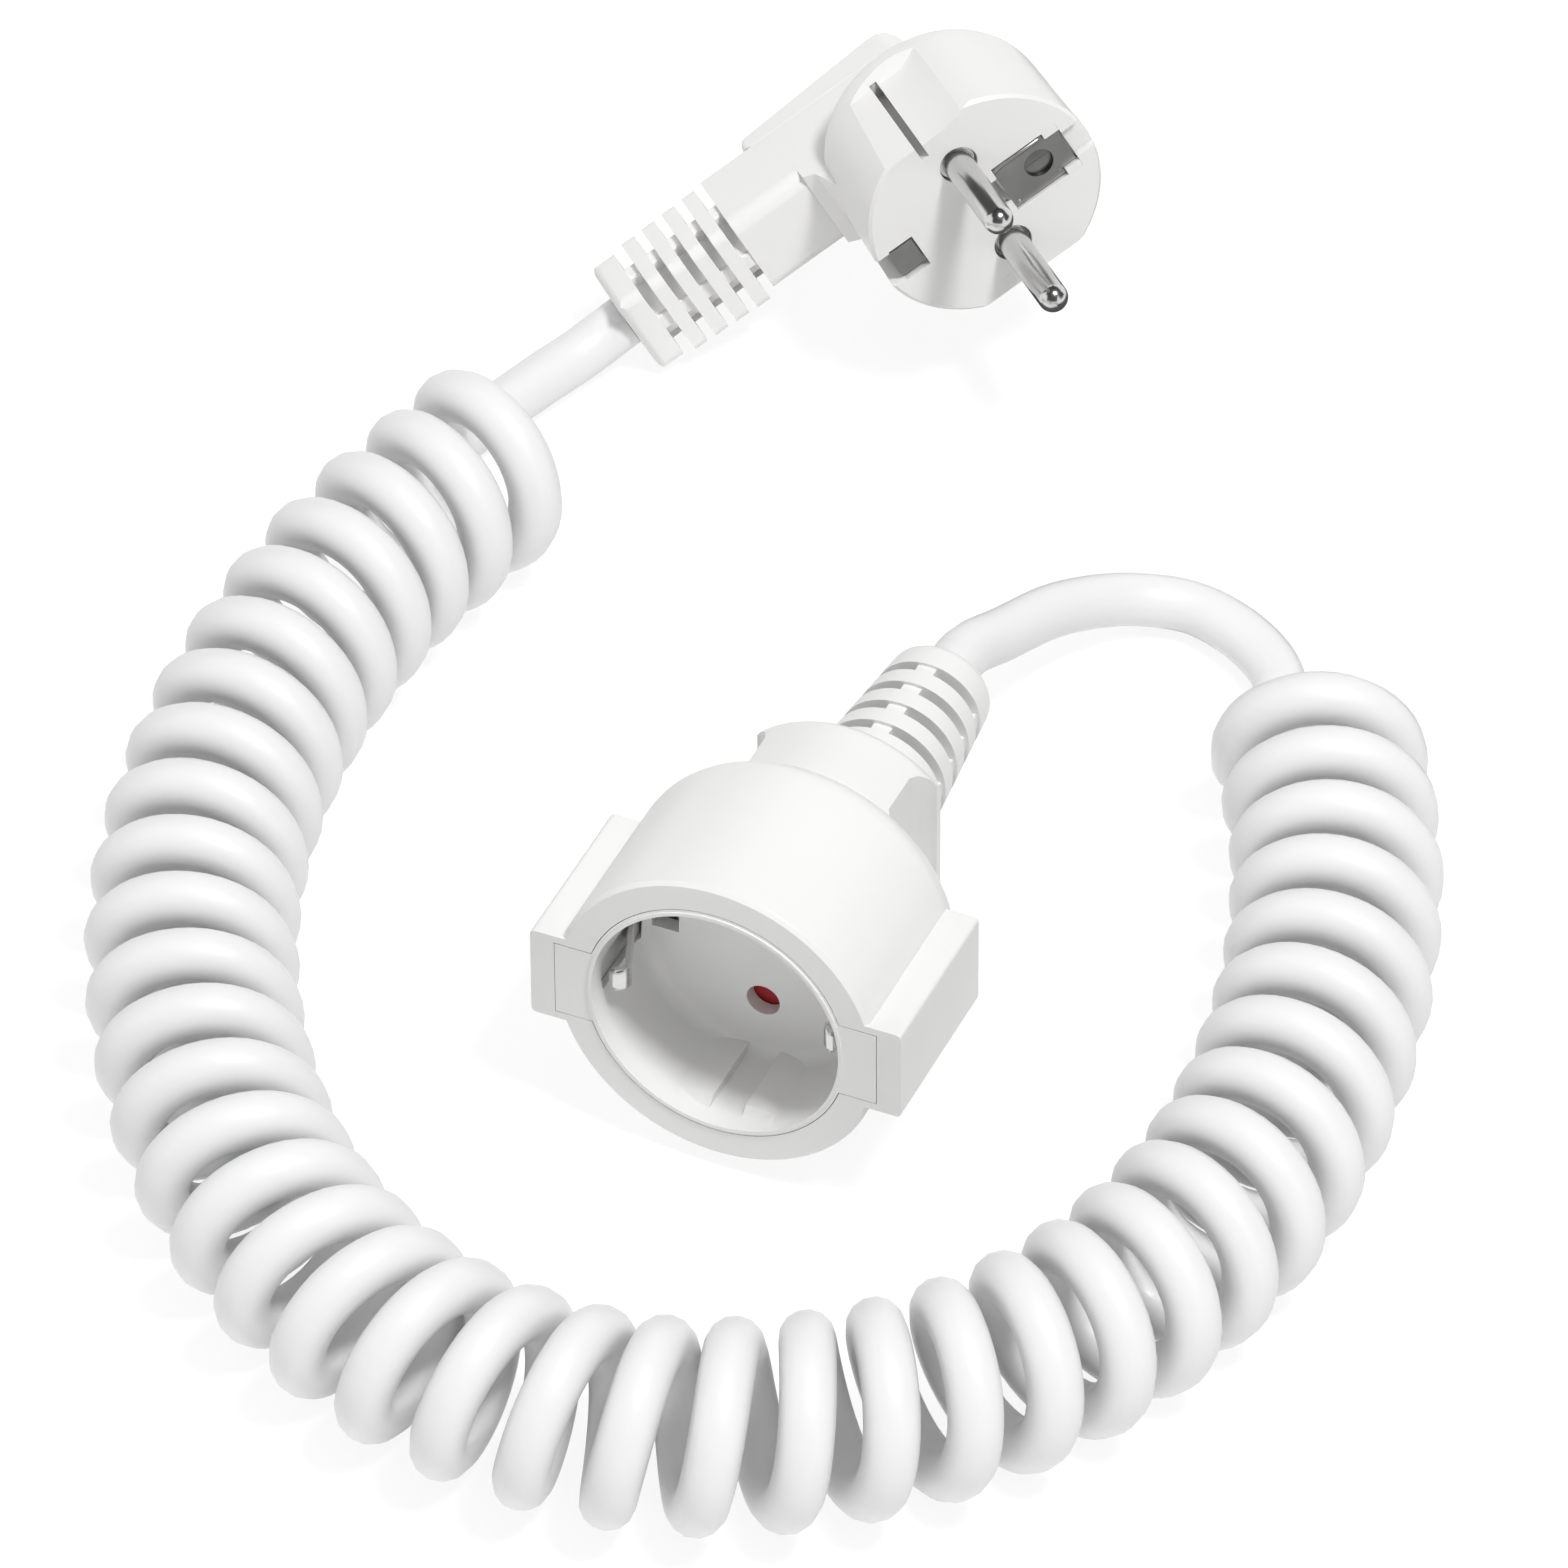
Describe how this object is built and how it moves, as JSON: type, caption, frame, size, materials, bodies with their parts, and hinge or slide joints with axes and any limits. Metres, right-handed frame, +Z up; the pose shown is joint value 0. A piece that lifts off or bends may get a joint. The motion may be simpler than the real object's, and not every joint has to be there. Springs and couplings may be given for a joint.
{
  "type": "coiled extension cord",
  "caption": "Coiled mains extension lead with an angled earthed plug and a shuttered earthed socket coupler.",
  "frame": {"origin": "centre of the foot of the socket coupler's bounding box, on the table, with the cord and plug left out", "axes": "+Z up from the table; the coupler's cord leaves towards +Y and its opening faces -Y, 5 degrees upwards; +X to the right seen from the opening"},
  "size_m": [0.2073, 0.2866, 0.0555],
  "materials": {
    "white_plastic": "satin moulded",
    "ivory_plastic": "satin moulded",
    "inner_plastic": "moulded",
    "red_plastic": "moulded",
    "spring_steel": "drawn wire",
    "nickel": "polished",
    "dark_metal": "satin",
    "white_boot": "soft satin",
    "ivory_boot": "soft satin",
    "cord_jacket": "smooth satin",
    "brown_core": "smooth",
    "blue_core": "smooth",
    "earth_core": "smooth"
  },
  "bodies": {
    "lead": {"coupler_shell": "white_plastic", "socket_cup": "ivory_plastic", "contact_carrier": "inner_plastic", "shutter_spring": "spring_steel", "live_sleeve": "nickel", "neutral_sleeve": "nickel", "earth_bow": "nickel", "coupler_boot": "white_boot", "coupler_jacket_end": "cord_jacket", "coupler_brown_core": "brown_core", "coupler_blue_core": "blue_core", "coupler_earth_core": "earth_core", "coupler_tail": "cord_jacket", "curly_cord": "cord_jacket", "plug_tail": "cord_jacket", "plug_body": "ivory_plastic", "plug_lid": "ivory_plastic", "pin_bridge": "inner_plastic", "live_pin": "nickel", "neutral_pin": "nickel", "plug_earth_strip": "dark_metal", "plug_boot": "ivory_boot", "plug_jacket_end": "cord_jacket", "plug_brown_core": "brown_core", "plug_blue_core": "blue_core", "plug_earth_core": "earth_core"},
    "shutter": {"shutter": "red_plastic"}
  },
  "joints": [
    {"name": "shutter_hinge", "type": "hinge", "parent": "lead", "child": "shutter", "pos_m": [0, -0.02055, 0.02655], "axis": [0, -0.9962, 0.0872], "range_deg": [0, 42], "stiffness_Nm_per_rad": 0.002, "springref_deg": -20.05, "deforming": ["shutter_spring"]}
  ]
}
